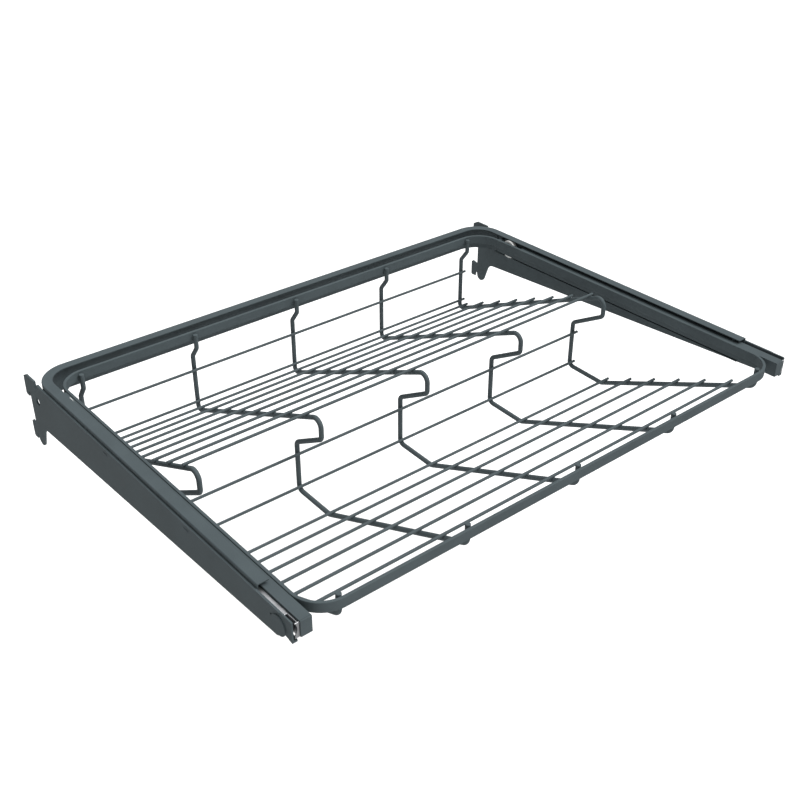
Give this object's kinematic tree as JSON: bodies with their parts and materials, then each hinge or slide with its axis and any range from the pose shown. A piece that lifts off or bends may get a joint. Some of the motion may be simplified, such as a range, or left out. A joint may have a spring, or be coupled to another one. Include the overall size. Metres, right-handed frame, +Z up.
{
  "type": "pull-out shoe rack",
  "caption": "Pull-out wire shoe rack on slotted-standard brackets: a rimmed tray with two sloped wire shelves slides forward on side rails and rollers.",
  "frame": {"origin": "midway between the two brackets, at the seats of the upper hooks, on the front face of the wall standards", "axes": "+X to the right seen from the front, +Y back through the standards, +Z up; the tray pulls out along -Y"},
  "size_m": [0.6066, 0.4628, 0.1076],
  "materials": {
    "graphite_coat": "satin powder coat",
    "zinc_plate": "bright zinc",
    "white_nylon": "satin",
    "black_nylon": "satin"
  },
  "bodies": {
    "hanger": {"left_bracket_plate": "graphite_coat", "right_bracket_plate": "graphite_coat", "cover_frame": "graphite_coat", "left_runner_channel": "graphite_coat", "right_runner_channel": "graphite_coat", "left_front_roller_pin": "zinc_plate", "right_front_roller_pin": "zinc_plate"},
    "tray": {"tray_rim": "graphite_coat", "profile_wire_1": "graphite_coat", "profile_wire_2": "graphite_coat", "profile_wire_3": "graphite_coat", "profile_wire_4": "graphite_coat", "profile_wire_5": "graphite_coat", "rear_riser_wires": "graphite_coat", "rear_shelf_wires": "graphite_coat", "front_riser_wires": "graphite_coat", "front_shelf_wires": "graphite_coat", "left_side_rail": "graphite_coat", "right_side_rail": "graphite_coat", "left_rail_cap": "graphite_coat", "right_rail_cap": "graphite_coat", "left_track": "zinc_plate", "right_track": "zinc_plate", "left_rear_roller_axle": "zinc_plate", "right_rear_roller_axle": "zinc_plate"},
    "left_front_wheel": {"left_front_roller": "black_nylon"},
    "right_front_wheel": {"right_front_roller": "black_nylon"},
    "left_rear_wheel": {"left_rear_roller": "white_nylon"},
    "right_rear_wheel": {"right_rear_roller": "white_nylon"}
  },
  "joints": [
    {"name": "tray_slide", "type": "slide", "parent": "hanger", "child": "tray", "axis": [0, -1, 0], "range_m": [0, 0.32]},
    {"name": "left_front_turn", "type": "hinge", "parent": "hanger", "child": "left_front_wheel", "pos_m": [-0.2987, -0.4323, 0.0039], "axis": [1, 0, 0], "range_deg": [0, 1950.5]},
    {"name": "right_front_turn", "type": "hinge", "parent": "hanger", "child": "right_front_wheel", "pos_m": [0.2987, -0.4323, 0.0039], "axis": [1, 0, 0], "range_deg": [0, 1950.5]},
    {"name": "left_rear_turn", "type": "hinge", "parent": "tray", "child": "left_rear_wheel", "pos_m": [-0.29045, -0.0675, 0.0087], "axis": [1, 0, 0], "range_deg": [0, 1666.8]},
    {"name": "right_rear_turn", "type": "hinge", "parent": "tray", "child": "right_rear_wheel", "pos_m": [0.29045, -0.0675, 0.0087], "axis": [1, 0, 0], "range_deg": [0, 1666.8]}
  ],
  "couplings": [
    {"joint": "left_front_turn", "follows": "tray_slide", "rad_per_m": 106.38},
    {"joint": "right_front_turn", "follows": "tray_slide", "rad_per_m": 106.38},
    {"joint": "left_rear_turn", "follows": "tray_slide", "rad_per_m": 90.909},
    {"joint": "right_rear_turn", "follows": "tray_slide", "rad_per_m": 90.909}
  ]
}
